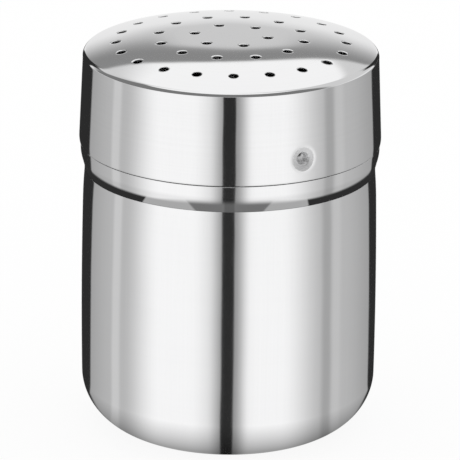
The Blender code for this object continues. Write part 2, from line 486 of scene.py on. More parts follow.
class Turnery:
    """Turns a profile about +Z: a grid whose columns are copies of the profile."""

    MERGE = 0.0005 * MM

    def __init__(self) -> None:
        """Build the tree."""
        sockets = [("Rows", "NodeSocketInt"), ("Columns", "NodeSocketInt")]
        sockets.append(("Material", "NodeSocketMaterial"))
        graph, given = open_tree("turned_sheet", sockets)
        rows, columns = given["Rows"], given["Columns"]
        sizes = {"Vertices X": columns + 1, "Vertices Y": rows}
        sheet = graph.term("GeometryNodeMeshGrid", None, sizes)
        index = graph.term("GeometryNodeInputIndex")
        column = (index / rows).math("FLOOR")
        sample = {"data_type": "FLOAT_VECTOR", "domain": "POINT"}
        place = graph.term("GeometryNodeInputPosition")
        taken = {"Geometry": given["Geometry"], "Value": place, "Index": index % rows}
        profile = graph.term("GeometryNodeSampleIndex", sample, taken)
        moved = {"Geometry": sheet, "Position": graph.spin(profile, column * math.tau / columns)}
        shape = graph.term("GeometryNodeSetPosition", None, moved)
        merge = {"Geometry": shape, "Distance": self.MERGE}
        closed = graph.term("GeometryNodeMergeByDistance", None, merge)
        self.tree = close_tree(graph, closed, given["Material"])

    def turn(self, name: str, profile: Sequence[Point], columns: int, material: Material) -> Mesh:
        """Turn a profile.

        Args:
            name: The mesh's name.
            profile: (radius, height) points, with the outside on the right of their run.
            columns: Number of copies round the axis.
            material: The finish.

        Returns:
            A closed mesh with its faces outwards.
        """
        inputs = {"Rows": len(profile), "Columns": columns, "Material": material}
        mesh = grown(name, self.tree, polyline(f"{name}_profile", profile), inputs)
        shape = bmesh.new()
        shape.from_mesh(mesh)
        bmesh.ops.recalc_face_normals(shape, faces=shape.faces[:])
        shape.to_mesh(mesh)
        shape.free()
        return mesh


# Finishes


@dataclass(frozen=True)
class MattAndShadeSpot:
    """Polish and dust that roughen a pressed place of the sheet, seen from outside it, and painted
    shade that darkens it.
    """

    azimuth: float
    height: float
    reach: float
    across: float = 0.0
    blur: float = 0.5 * MM
    # How far the colour is darkened, as painted shade.
    strength: float = 0.0
    matt: float = 0.0

    def mask(self, graph: Graph, place: Term) -> Term:
        """Where it lies.

        Args:
            graph: The material's graph.
            place: Object coordinates.

        Returns:
            A share from 0 to 1.
        """
        out, across, up = graph.parts(graph.spin(place, -self.azimuth))
        distance = (across - self.across).hypot(up - self.height)
        spot = distance.rise(self.reach + self.blur, self.reach)
        return spot * out.math("GREATER_THAN", 0.0)


@dataclass(frozen=True)
class SteelFinish:
    """Polished stainless steel sheet with the faint lines of its making, and any painted shade in
    its pressed places.

    Each scale is in cycles for each metre, and each depth in metres.
    """

    name: str
    colour: tuple[float, float, float]
    roughness: float
    draw_depth: float
    ring_scale: float
    ring_depth: float
    draw_scale: float = 2600.0
    draw_stretch: float = 160.0
    line_detail: float = 2.0
    haze_scale: float = 70.0
    haze_detail: float = 3.0
    haze_roughness: float = 0.05
    haze_tint: float = 0.02
    wave_scale: float = 45.0
    wave_detail: float = 1.0
    wave_depth: float = 0.1 * MM
    draw_tint: float = 0.03
    ring_tint: float = 0.02
    # Matt spots, and spots of painted shade in pressed recesses.
    matt_and_shade: tuple[MattAndShadeSpot, ...] = ()

    def build(self) -> Material:
        """Make the material.

        Returns:
            A Principled material that reads Object coordinates alone.
        """
        material = bpy.data.materials.new(self.name)
        graph = emptied(material)
        place = graph.term("ShaderNodeTexCoord", output="Object")
        turned = self.radius_and_height(graph, place)
        along = (self.draw_scale, self.draw_scale, self.draw_scale / self.draw_stretch)
        drawn = self.noise(graph, place, along, self.line_detail)
        rings = self.noise(graph, turned, (self.ring_scale,) * 3, self.line_detail)
        haze = self.noise(graph, place, (self.haze_scale,) * 3, self.haze_detail)
        waves = self.noise(graph, place, (self.wave_scale,) * 3, self.wave_detail)
        relief = drawn * self.draw_depth + rings * self.ring_depth + waves * self.wave_depth
        heights = {"Strength": 1.0, "Distance": 1.0, "Height": relief}
        bump = graph.term("ShaderNodeBump", None, heights)
        shine = haze * self.haze_roughness + (self.roughness - self.haze_roughness / 2)
        bright = 1 - haze * self.haze_tint - drawn * self.draw_tint - rings * self.ring_tint
        # Painted shade: a spot darkens the colour by its strength; its matt only raises the
        # roughness.
        for matt_and_shade in self.matt_and_shade:
            mask = matt_and_shade.mask(graph, place)
            bright = bright * (1 - mask * matt_and_shade.strength)
            shine = shine + mask * matt_and_shade.matt
        colour = graph.vector("SCALE", {"Scale": bright, 0: self.colour})
        inputs = {"Base Color": colour, "Metallic": 1.0, "Roughness": shine, "Normal": bump}
        shader = graph.term("ShaderNodeBsdfPrincipled", None, inputs)
        graph.add("ShaderNodeOutputMaterial", None, {"Surface": shader})
        return material

    @staticmethod
    def noise(graph: Graph, place: Term, scale: Place, detail: float) -> Term:
        """Stretched noise.

        Args:
            graph: The material's graph.
            place: Where to read it.
            scale: Cycles for each metre along each axis.
            detail: The noise's detail.

        Returns:
            A value from 0 to 1.
        """
        stretched = graph.term("ShaderNodeMapping", None, {"Vector": place, "Scale": scale})
        inputs = {"Vector": stretched, "Scale": 1.0, "Detail": detail}
        return graph.term("ShaderNodeTexNoise", None, inputs)

    @staticmethod
    def radius_and_height(graph: Graph, place: Term) -> Term:
        """Coordinates that are constant round the axis, so that what reads them forms rings."""
        across, along, up = graph.parts(place)
        return graph.joined(X=across.hypot(along), Z=up)


LUG_AZIMUTHS = (math.radians(-90.0), math.radians(90.0))
"""Where the lid's lugs and the entries of the neck's slots lie."""

CAN_FINISH = SteelFinish(
    "can_steel", (0.885, 0.885, 0.89), 0.07, 0.00012 * MM, 900.0, 0.00004 * MM
)
# At each lug: a wide matt patch, and a small spot of painted shade near the upper edge of its nub.
LUG_MATT_AND_SHADE = tuple(
    matt_and_shade
    for azimuth in LUG_AZIMUTHS
    for matt_and_shade in (
        MattAndShadeSpot(azimuth, 75.37 * MM, 2.5 * MM, matt=0.5),
        MattAndShadeSpot(azimuth, 76.1 * MM, 0.3 * MM, across=-0.3 * MM, strength=0.85),
    )
)
LID_FINISH = SteelFinish(
    "lid_steel",
    (0.89, 0.89, 0.895),
    0.06,
    0.00006 * MM,
    1300.0,
    0.00012 * MM,
    ring_tint=0.045,
    matt_and_shade=LUG_MATT_AND_SHADE,
)


# The can


@dataclass
class Can:
    """The deep drawn can, with the two lock slots in its neck."""

    turnery: Turnery
    columns: int = 240
    sheet: float = 0.5 * MM
    overrun: float = 2.0 * MM
    belly_radius: float = 35.05 * MM
    belly_height: float = 26.0 * MM
    barrel_arc: float = 1200.0 * MM
    wall_steps: int = 24
    foot_corner: float = 13.0 * MM
    foot_steps: int = 26
    foot_ring_width: float = 3.0 * MM
    base_recess: float = 0.8 * MM
    base_step_width: float = 1.6 * MM
    base_steps: int = 8
    shoulder_height: float = 63.5 * MM
    shoulder_inset: float = 0.82 * MM
    shoulder_dip: float = 0.15 * MM
    draw_height: float = 7.5 * MM
    draw_steps: int = 12
    groove_inset: float = 1.05 * MM
    groove_slope: float = math.radians(16.2)
    bead_arc: float = 8.0 * MM
    bead_steps: int = 28
    bead_top_slope: float = math.radians(8.0)
    bead_crown: float = 0.2 * MM
    edge_bend: float = 0.05 * MM
    neck_inset: float = 1.35 * MM
    neck_steps: int = 12
    neck_fillet: float = 0.5 * MM
    fillet_steps: int = 6
    rim_steps: int = 8
    seat_radius_over_neck: float = 0.8 * MM
    seat_width: float = 0.67 * MM
    slot_half_width: float = 2.2 * MM
    slot_land: float = 4.35 * MM
    slot_steps: int = 8
    lock_turn: float = math.radians(20.0)
    rim_height: float = field(init=False)

    def __post_init__(self) -> None:
        """Take the rim's height from the frame."""
        self.rim_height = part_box(Node.CAN.value)[1].z

    @property
    def shoulder_radius(self) -> float:
        """Outer radius at the shoulder."""
        return self.belly_radius - self.shoulder_inset

    @property
    def neck_radius(self) -> float:
        """Outer radius of the plain neck."""
        return self.belly_radius - self.neck_inset

    @property
    def bead_radius(self) -> float:
        """Outer radius of the bead."""
        return self.neck_radius + self.seat_radius_over_neck + self.seat_width

    @property
    def slot_height(self) -> float:
        """Height of the middle of a slot's run."""
        return self.rim_height - self.slot_land - self.slot_half_width

    def barrel(self, height: float) -> float:
        """Outer radius of the swelling wall at a height."""
        return self.belly_radius - (height - self.belly_height) ** 2 / (2 * self.barrel_arc)

    def wall(self, height: float) -> float:
        """The wall at a height, drawn in below the shoulder.

        Args:
            height: Height above the floor.

        Returns:
            Its outer radius.
        """
        top = self.shoulder_height
        share = max(0.0, (height - top + self.draw_height) / self.draw_height)
        return self.barrel(height) - (self.barrel(top) - self.shoulder_radius) * share**2

    def neck_outline(self, dip: float = 0.0) -> list[Knot]:
        """Outer side of the neck, the bead and the groove below it, from the rim down.

        Args:
            dip: How far the groove's corner runs down behind the shoulder's edge.

        Returns:
            The points.
        """
        groove_radius = self.belly_radius - self.groove_inset
        foot_radius = self.bead_radius - self.bead_arc * (1 - math.cos(self.groove_slope))
        foot = self.shoulder_height + (foot_radius - groove_radius) / math.tan(self.groove_slope)
        face = self.bead_radius - self.bead_arc, foot + self.bead_arc * math.sin(self.groove_slope)
        top = face[1] + self.bead_arc * math.sin(self.bead_top_slope)
        top_radius = face[0] + self.bead_arc * math.cos(self.bead_top_slope)
        fillet = self.neck_radius + self.neck_fillet, top + self.bead_crown + self.neck_fillet
        heights = spread(self.rim_height - self.sheet / 2, fillet[1], self.neck_steps)
        points = [(self.neck_radius, self.rim_height - self.sheet / 2)]
        points += [(self.neck_radius, height) for height in heights]
        points += arc(fillet, (self.neck_fillet,) * 2, 180, 270, self.fillet_steps)
        slopes = math.degrees(self.bead_top_slope), -math.degrees(self.groove_slope)
        curve = arc(face, (self.bead_arc,) * 2, *slopes, self.bead_steps)
        knots = [Knot(point) for point in points] + [Knot((top_radius, top), self.edge_bend)]
        knots += [Knot(point) for point in curve]
        corner = groove_radius - dip * math.tan(self.groove_slope), self.shoulder_height - dip
        return knots + [Knot(corner, self.edge_bend)]

    def wall_outline(self) -> list[Knot]:
        """Outer side of the wall, from the shoulder down to the foot's corner.

        Returns:
            The points.
        """
        edge = self.shoulder_height
        heights = spread(edge, edge - self.draw_height, self.draw_steps)
        heights += spread(heights[-1], self.foot_corner, self.wall_steps)
        knots = [Knot((self.wall(edge), edge), self.edge_bend)]
        return knots + [Knot((self.wall(height), height)) for height in heights]

    def foot_outline(self) -> list[Knot]:
        """Outer side of the foot's corner, its ring and the raised middle of the base.

        Returns:
            The points.
        """
        ring = self.wall(self.foot_corner) - self.foot_corner
        points = arc((ring, self.foot_corner), (self.foot_corner,) * 2, 0, -90, self.foot_steps)
        inside = ring - self.foot_ring_width
        points += [(ring - self.foot_ring_width / 2, 0.0), (inside, 0.0)]
        for share in spread(0.0, 1.0, self.base_steps):
            points.append((inside - self.base_step_width * share, self.base_recess * ease(share)))
        middle = spread(points[-1][0], 0.0, self.base_steps)
        points += [(radius, self.base_recess) for radius in middle]
        return [Knot(point) for point in points]

    def section(self) -> list[Point]:
        """The whole section of the sheet.

        Returns:
            The points of its outside, rolled rim and inside.
        """
        below = self.wall_outline() + self.foot_outline()
        outside = soften(self.neck_outline(self.shoulder_dip) + below)
        inside = inner_side([knot.place for knot in self.neck_outline() + below], self.sheet)
        half = self.sheet / 2
        middle = self.neck_radius - half, self.rim_height - half
        return outside[::-1] + arc(middle, (half, half), 0, 180, self.rim_steps)[:-1] + inside

    def slot_pattern(self) -> list[Point]:
        """Flat outline of one slot: an entry from the rim and a run to its left.

        Returns:
            The points, as (across, height).
        """
        half, run = self.slot_half_width, self.neck_radius * self.lock_turn
        top = self.rim_height + self.overrun
        points = [(half, top), (half, self.slot_height)]
        points += arc((0.0, self.slot_height), (half, half), 0, -90, self.slot_steps)
        points.append((-run, self.slot_height - half))
        points += arc((-run, self.slot_height), (half, half), -90, -270, 2 * self.slot_steps)
        return points + [(-half, self.slot_height + half), (-half, top)]

    def slot_cutter(self, azimuth: float) -> Object:
        """One slot's pattern, cut into columns, thickened and rolled round the neck.

        Args:
            azimuth: Where the slot's entry lies.

        Returns:
            A closed block to cut with.
        """
        pattern = bmesh.new()
        outline = self.slot_pattern()
        pattern.faces.new([pattern.verts.new((across, 0.0, up)) for across, up in outline])
        step = math.tau / self.columns
        half = self.slot_half_width / self.neck_radius
        first, past = -math.ceil((self.lock_turn + half) / step), math.ceil(half / step)
        for column in range(first, past):
            cut = {
                "plane_co": (self.neck_radius * step * (column + 0.5), 0.0, 0.0),
                "plane_no": (1.0, 0.0, 0.0),
            }
            everything = pattern.verts[:] + pattern.edges[:] + pattern.faces[:]
            bmesh.ops.bisect_plane(pattern, geom=everything, **cut)
        walls = bmesh.ops.extrude_face_region(pattern, geom=pattern.faces[:])
        for vertex in (item for item in walls["geom"] if isinstance(item, BMVert)):
            vertex.co.y = 2 * self.overrun
        for vertex in pattern.verts:
            radius = self.neck_radius - self.overrun + vertex.co.y
            vertex.co = polar(radius, azimuth + vertex.co.x / self.neck_radius, vertex.co.z)
        bmesh.ops.recalc_face_normals(pattern, faces=pattern.faces[:])
        return new_object("slot_cutter", written("slot_cutter", pattern))

    def build(self, finish: SteelFinish) -> Object:
        """Make the can.

        Args:
            finish: Its steel.

        Returns:
            The finished piece.
        """
        mesh = self.turnery.turn("can", self.section(), self.columns, finish.build())
        blank = new_object("can_blank", mesh)
        cutters = [self.slot_cutter(azimuth) for azimuth in LUG_AZIMUTHS]
        for cutter in cutters:
            cut = blank.modifiers.new("slot", "BOOLEAN")
            cut.operation, cut.solver, cut.object = "DIFFERENCE", "EXACT", cutter
        piece = new_object("can_shell", plain_mesh(blank, "can_shell"))
        for cutter in cutters:
            bpy.data.objects.remove(cutter)
        return settle(piece, Body.CAN, Node.CAN)


# The lid


@dataclass(frozen=True)
class HoleRing:
    """One ring of perforations."""

    radius: float
    count: int


@dataclass(frozen=True)
class Window:
    """A window in the lid's grid: top and bottom row, middle, and half width in columns."""

    first: int
    last: int
    azimuth: float
    reach: int


@dataclass
class Lid:
    """The pressed lid: dome, corner, tapered skirt, curled hem, two lugs and its perforations."""

    turnery: Turnery
    columns: int = 240
    sheet: float = 0.5 * MM
    neck_radius: float = 33.7 * MM
    hem_curl: float = 0.25 * MM
    hem_sink: float = 0.15 * MM
    hem_height: float = 1.5 * MM
    hem_steps: int = 10
    skirt_taper: float = 0.85 * MM
    skirt_steps: int = 12
    corner: float = 1.2 * MM
    corner_steps: int = 12
    edge_slope: float = math.radians(17.5)
    edge_bevel: float = 0.1 * MM
    bevel_steps: int = 2
    bevel_angle: float = math.radians(60.0)
    dome_power: int = 3
    dome_rows: int = 6
    hole_radius: float = 1.1 * MM
    roll_width: float = 0.2 * MM
    roll_depth: float = 0.18 * MM
    roll_steps: int = 8
    lip: float = 0.05 * MM
    rim_overlap: float = 0.1 * MM
    rim_sink: float = 0.012 * MM
    rim_tuck: float = 0.036 * MM
    rim_columns: int = 32
    window: float = 2.1 * MM
    window_rows: int = 6
    window_steps: int = 3
    rings: tuple[HoleRing, ...] = (
        HoleRing(8.7 * MM, 6),
        HoleRing(17.2 * MM, 12),
        HoleRing(26.9 * MM, 20),
    )
    lug_columns: int = 5
    lug_rows: int = 8
    dent_radius: float = 3.6 * MM
    dent_depth: float = 0.5 * MM
    dent_margin: float = 0.15 * MM
    dent_steps: int = 6
    nub_radius: float = 1.7 * MM
    nub_floor: float = 0.75 * MM
    nub_tip: float = 0.1875 * MM
    nub_steps: int = 8
    floor_steps: int = 3
    seat: float = field(init=False)
    height: float = field(init=False)
    hem_radius: float = field(init=False)

    def __post_init__(self) -> None:
        """Take the lid's place and outer sizes from the frame."""
        low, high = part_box(Node.LID.value)
        self.seat, self.height, self.hem_radius = low.z, high.z - low.z, high.x

    @property
    def top_radius(self) -> float:
        """Outer radius at the top of the skirt."""
        return self.hem_radius - self.skirt_taper

    @property
    def dome_radius(self) -> float:
        """Radius where the dome meets the corner."""
        return self.top_radius - self.corner * (1 - math.sin(self.edge_slope))

    @property
    def dome_drop(self) -> float:
        """Fall of the dome from its crown to the corner."""
        return self.dome_radius * math.tan(self.edge_slope) / self.dome_power

    @property
    def corner_height(self) -> float:
        """Height of the corner's centre above the hem."""
        return self.height - self.dome_drop - self.corner * math.cos(self.edge_slope)

    @property
    def lug_window(self) -> float:
        """Half the height of a lug's window."""
        return self.dent_radius + self.dent_margin

    @property
    def lug_height(self) -> float:
        """Height of a lug's middle above the hem."""
        return self.hem_height + self.lug_window

    @property
    def first_hole(self) -> float:
        """Azimuth of each ring's first hole: a lug lies between two holes of the outer ring."""
        return LUG_AZIMUTHS[0] - math.pi / self.rings[-1].count

    @property
    def opening(self) -> float:
        """Radius of the openings in the dome, in which the perforations' rims stand."""
        return self.hole_radius + self.roll_width

    def dome(self, radius: float) -> float:
        """Height of the dome above the hem at a radius."""
        return self.height - self.dome_drop * (radius / self.dome_radius) ** self.dome_power

    def dome_slope(self, radius: float) -> float:
        """Slope of the dome at a radius, in radians."""
        fall = self.dome_power * self.dome_drop / self.dome_radius
        return math.atan(fall * (radius / self.dome_radius) ** (self.dome_power - 1))

    def skirt(self, height: float) -> float:
        """Outer radius of the skirt at a height above the hem."""
        share = (height - self.hem_height) / (self.corner_height - self.hem_height)
        return self.hem_radius - self.skirt_taper * share

    def place(self, radius: float, angle: float, height: float) -> Place:
        """A point of the lid in the frame, from its radius, azimuth and height above the hem."""
        return polar(radius, angle, self.seat + height)

    def dome_radii(self) -> list[float]:
        """Radii of the dome's rows.

        Returns:
            The radii, with one at both edges of each ring's windows.
        """
        radii = [0.0]
        for ring in self.rings:
            radii += spread(radii[-1], ring.radius - self.window, self.dome_rows)
            radii += spread(radii[-1], ring.radius + self.window, self.window_rows)
        return radii + spread(radii[-1], self.dome_radius, self.dome_rows)

    def outline(self) -> list[Point]:
        """Outer side of the lid, from the crown to the hem's tip.

        Returns:
            The points, with heights above the hem.
        """
        points = [(radius, self.dome(radius)) for radius in self.dome_radii()]
        middle = self.top_radius - self.corner, self.corner_height
        slope = 90 - math.degrees(self.edge_slope)
        points += arc(middle, (self.corner,) * 2, slope, 0, self.corner_steps)
        window_top = self.lug_height + self.lug_window
        heights = spread(self.corner_height, window_top, self.skirt_steps)
        heights += spread(window_top, self.hem_height, self.lug_rows)
        points += [(self.skirt(height), height) for height in heights]
        tip = self.hem_radius - self.hem_curl, self.hem_height
        curl = self.hem_curl, self.hem_height + self.hem_sink
        return points + arc(tip, curl, 0, -90, self.hem_steps)

    def grid(self) -> tuple[BMesh, list[list[BMVert]]]:
        """Turn the outline by hand, because the windows need its rows and columns.

        Returns:
            The shell, and its rows of vertices from the crown down.
        """
        shell = bmesh.new()
        rows = []
        for radius, height in self.outline():
            angles = circle(self.columns if radius > 0 else 1)
            rows.append([shell.verts.new(self.place(radius, angle, height)) for angle in angles])
        for upper, lower in zip(rows[:-1], rows[1:]):
            for column in range(self.columns):
                after = (column + 1) % self.columns
                corners = [upper[column % len(upper)], lower[column % len(lower)]]
                corners += [lower[after % len(lower)], upper[after % len(upper)]]
                shell.faces.new(list(dict.fromkeys(corners)))
        return shell, rows

    def open_window(
        self, shell: BMesh, rows: list[list[BMVert]], window: Window
    ) -> tuple[list[BMVert], list[float]]:
        """Remove a window's inside from the grid.

        Args:
            shell: The lid's shell.
            rows: Its rows of vertices.
            window: Where the window lies.

        Returns:
            The border's vertices, anticlockwise from outside, and the way to each from the middle.
        """
        middle = round(window.azimuth * self.columns / math.tau)
        first, last, reach = window.first, window.last, window.reach
        inside = []
        for row in rows[first + 1:last]:
            inside += [row[(middle + step) % self.columns] for step in range(1 - reach, reach)]
        bmesh.ops.delete(shell, geom=inside, context="VERTS")
        path = [(reach, row) for row in range(last, first, -1)]
        path += [(step, first) for step in range(reach, -reach, -1)]
        path += [(-reach, row) for row in range(first, last)]
        path += [(step, last) for step in range(-reach, reach)]
        half = (last - first) / 2
        ways = [math.atan2((first + half - row) / half, step / reach) for step, row in path]
        return [rows[row][(middle + step) % self.columns] for step, row in path], ways

    @staticmethod
    def bridge(shell: BMesh, outer: list[BMVert], places: Iterable[Place]) -> list[BMVert]:
        """Set a smaller ring in a window, and join it to the one round it.

        Args:
            shell: The lid's shell.
            outer: The ring so far.
            places: The points of the smaller ring, in the same order.

        Returns:
            The smaller ring.
        """
        inner = [shell.verts.new(place) for place in places]
        for step in range(len(outer)):
            shell.faces.new((outer[step - 1], outer[step], inner[step], inner[step - 1]))
        return inner

    def open_holes(self, shell: BMesh, rows: list[list[BMVert]]) -> None:
        """Cut the round openings that the perforations' rims fill.

        Args:
            shell: The lid's shell.
            rows: Its rows of vertices.
        """
        radii = self.dome_radii()
        for ring in self.rings:
            last = radii.index(min(radii, key=lambda at: abs(at - ring.radius - self.window)))
            reach = round(self.window * self.columns / (math.tau * ring.radius))
            for turn in circle(ring.count):
                azimuth = self.first_hole + turn
                window = Window(last - self.window_rows, last, azimuth, reach)
                border, ways = self.open_window(shell, rows, window)
                for distance in spread(self.window, self.opening, self.window_steps):
                    places = [self.by_hole(ring.radius, azimuth, distance, way) for way in ways]
                    border = self.bridge(shell, border, places)

    def by_hole(self, ring: float, azimuth: float, distance: float, way: float) -> Place:
        """A point of the dome at a distance from a hole's middle.

        Args:
            ring: Radius of the hole's ring.
            azimuth: The hole's azimuth.
            distance: How far from its middle.
            way: Direction there, from the tangent towards the crown.

        Returns:
            The point, in the frame.
        """
        out, across = ring - distance * math.sin(way), distance * math.cos(way)
        radius = math.hypot(out, across)
        return self.place(radius, azimuth + math.atan2(across, out), self.dome(radius))

    def by_lug(self, azimuth: float, distance: float, way: float) -> Place:
        """A point of the pressed skirt at a distance from a lug's middle.

        Args:
            azimuth: The lug's azimuth.
            distance: How far from its middle.
            way: Direction there, from the tangent upwards.

        Returns:
            The point, in the frame.
        """
        height = self.lug_height + distance * math.sin(way)
        angle = azimuth + distance * math.cos(way) / self.skirt(self.lug_height)
        return self.place(self.skirt(height) - self.lug_depth(distance), angle, height)

    def lug_depth(self, distance: float) -> float:
        """How far the skirt is pressed in.

        Args:
            distance: Distance from a lug's middle.

        Returns:
            The depth of the dent and the nub together.
        """
        full = self.skirt(self.lug_height) - self.neck_radius
        dent = self.dent_depth * ease(1 - distance / self.dent_radius)
        share = (self.nub_radius - distance) / (self.nub_radius - self.nub_floor)
        return dent + (full - self.dent_depth) * ease(share)

    def press_lugs(self, shell: BMesh, rows: list[list[BMVert]]) -> None:
        """Press the two lugs into the skirt.

        Args:
            shell: The lid's shell.
            rows: Its rows of vertices.
        """
        last = len(rows) - 1 - self.hem_steps
        distances = [self.dent_radius]
        distances += spread(self.dent_radius, self.nub_radius, self.dent_steps)
        distances += spread(self.nub_radius, self.nub_floor, self.nub_steps)
        distances += spread(self.nub_floor, self.nub_tip, self.floor_steps)
        for azimuth in LUG_AZIMUTHS:
            window = Window(last - self.lug_rows, last, azimuth, self.lug_columns)
            ring, ways = self.open_window(shell, rows, window)
            for distance in distances:
                places = [self.by_lug(azimuth, distance, way) for way in ways]
                ring = self.bridge(shell, ring, places)
            shell.faces.new(ring)

    def rim_section(self) -> list[Point]:
        """Section of one perforation's rim: rolled mouth, thin lip, and a back that breaks away.

        Returns:
            The points, with heights above the dome.
        """
        outer = self.opening + self.rim_overlap
        mouth = self.opening, -self.rim_sink - self.roll_depth
        back = outer, -self.sheet / 2
        points = [back, (outer, -self.rim_tuck), (self.opening, -self.rim_sink)]
        points += arc(mouth, (self.roll_width, self.roll_depth), 90, 180, self.roll_steps)
        floor = self.opening, -self.sheet - self.rim_sink
        return points + [(self.hole_radius, mouth[1] - self.lip), floor, back]

    def rim_tree(self) -> NodeTree:
        """Geometry tree that sets a rim at each hole of each ring, square to the dome.

        Returns:
            The tree.
        """
        kinds = {"Count": "Int", "Radius": "Float", "Height": "Float", "Slope": "Float"}
        sockets = [("First", "NodeSocketFloat"), ("Rim", "NodeSocketObject")]
        sockets.append(("Material", "NodeSocketMaterial"))
        for number in range(len(self.rings)):
            sockets += [(f"{name} {number}", f"NodeSocket{kind}") for name, kind in kinds.items()]
        graph, given = open_tree("perforation_rims", sockets)
        rim = graph.term("GeometryNodeObjectInfo", None, {"Object": given["Rim"]}, "Geometry")
        joined = graph.add("GeometryNodeJoinGeometry")
        for number in range(len(self.rings)):
            count, radius, height, slope = (given[f"{name} {number}"] for name in kinds)
            line = graph.term("GeometryNodeMeshLine", {"mode": "OFFSET"}, {"Count": count})
            index = graph.term("GeometryNodeInputIndex")
            azimuth = index * math.tau / count + given["First"]
            place = graph.spin(graph.joined(X=radius, Z=height), azimuth)
            moved = {"Geometry": line, "Position": place}
            points = graph.term("GeometryNodeSetPosition", None, moved)
            lean = graph.joined(Y=slope, Z=azimuth)
            turn = graph.term("FunctionNodeEulerToRotation", None, {0: lean})
            copies = {"Points": points, "Instance": rim, "Rotation": turn}
            made = graph.term("GeometryNodeInstanceOnPoints", None, copies)
            graph.tree.links.new(made.socket, joined.inputs[0])
        return close_tree(graph, Term(graph, joined.outputs[0]), given["Material"])

    def build_rims(self, material: Material) -> Object:
        """Make the rolled rims of all perforations as one piece.

        Args:
            material: The lid's steel.

        Returns:
            The finished piece.
        """
        one = self.turnery.turn("one_rim", self.rim_section(), self.rim_columns, material)
        rim = new_object("one_rim", one)
        inputs = {"First": self.first_hole, "Rim": rim, "Material": material}
        for number, ring in enumerate(self.rings):
            inputs[f"Count {number}"] = ring.count
            inputs[f"Radius {number}"] = ring.radius
            inputs[f"Height {number}"] = self.seat + self.dome(ring.radius)
            inputs[f"Slope {number}"] = self.dome_slope(ring.radius)
        empty = bpy.data.meshes.new("rims_base")
        mesh = grown("lid_hole_rims", self.rim_tree(), empty, inputs)
        piece = new_object("lid_hole_rims", mesh)
        bpy.data.objects.remove(rim)
        return settle(piece, Body.LID)

    def build(self, finish: SteelFinish) -> list[Object]:
        """Make the lid.

        Args:
            finish: Its steel.

        Returns:
            The shell, and the rims of its perforations.
        """
        shell, rows = self.grid()
        self.open_holes(shell, rows)
        self.press_lugs(shell, rows)
        mesh = written("lid_blank", shell)
        material = finish.build()
        mesh.materials.append(material)
        blank = new_object("lid_blank", mesh)
        wall = blank.modifiers.new("sheet", "SOLIDIFY")
        wall.thickness, wall.offset, wall.use_even_offset = self.sheet, -1.0, True
        edge = blank.modifiers.new("edge", "BEVEL")
        edge.width, edge.segments = self.edge_bevel, self.bevel_steps
        edge.limit_method, edge.angle_limit = "ANGLE", self.bevel_angle
        piece = new_object("lid_shell", plain_mesh(blank, "lid_shell"))
        return [settle(piece, Body.LID, Node.LID), self.build_rims(material)]


def settle(piece: Object, body: Body, node: Node | None = None) -> Object:
    """Shade a finished piece, set it on its body and report it.

    Args:
        piece: The finished mesh object.
        body: What it rides on.
        node: The solid that it stands for, if any.

    Returns:
        The same piece.
    """
    piece.data.shade_smooth()
    piece.data.set_sharp_from_angle(angle=SHARP_ANGLE)
    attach(piece, body.value)
    if node:
        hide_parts(node.value)
    LOG.info("%s: %d faces on %s", piece.name, len(piece.data.polygons), body.value)
    return piece


# The studio


@dataclass(frozen=True)
class View:
    """The photograph's view: a long lens that looks a little down on the shaker."""

    azimuth: float = math.radians(-28.3)
    elevation: float = math.radians(19.0)
    roll: float = math.radians(0.60)
    distance: float = 0.95
    aim_height: float = 47.43 * MM
    aim_side: float = 0.18 * MM
    lens: float = 313.8
    sensor: float = 36.0
    clip: Span = (0.05, 20.0)

    @property
    def direction(self) -> Vector:
        """From the shaker to the camera."""
        return Vector(polar(math.cos(self.elevation), self.world_azimuth, math.sin(self.elevation)))

    @property
    def world_azimuth(self) -> float:
        """Azimuth of the camera as seen from the shaker, from +X."""
        return self.azimuth - math.pi / 2

    def build(self) -> Object:
        """Make the camera.

        Returns:
            The camera, set as the scene's own.
        """
        data = bpy.data.cameras.new("camera")
        data.sensor_fit, data.sensor_width, data.lens = "HORIZONTAL", self.sensor, self.lens
        data.clip_start, data.clip_end = self.clip
        camera = new_object("camera", data)
        turn = (-self.direction).to_track_quat("-Z", "Y").to_matrix()
        turn = turn @ Euler((0.0, 0.0, self.roll)).to_matrix()
        aim = Vector((0.0, 0.0, self.aim_height)) + turn @ Vector((self.aim_side, 0.0, 0.0))
        place = Matrix.Translation(aim + self.direction * self.distance)
        camera.matrix_world = place @ turn.to_4x4()
        bpy.context.scene.camera = camera
        return camera


@dataclass(frozen=True)
class Card:
    """A soft edged card, by azimuth from the camera (right is positive) in degrees.

    A card of the painted groove reflection widens or narrows outwards by its lean, in degrees for
    each metre.
    """

    azimuth: float
    half_width: float
    softness: float
    level: float
    lean: float = 0.0

    def laid(self, level: Term | float, azimuth: Term, out: Term | float = 0.0) -> Term:
        """Lay the card over what is behind it.

        Args:
            level: The grey level behind it.
            azimuth: The direction, in degrees.
            out: How far out a point of the collar lies, in metres.

        Returns:
            The grey level with the card.
        """
        reach = abs(azimuth - self.azimuth) - out * self.lean
        share = reach.rise(self.half_width + self.softness, self.half_width)
        return between(level, self.level, share)


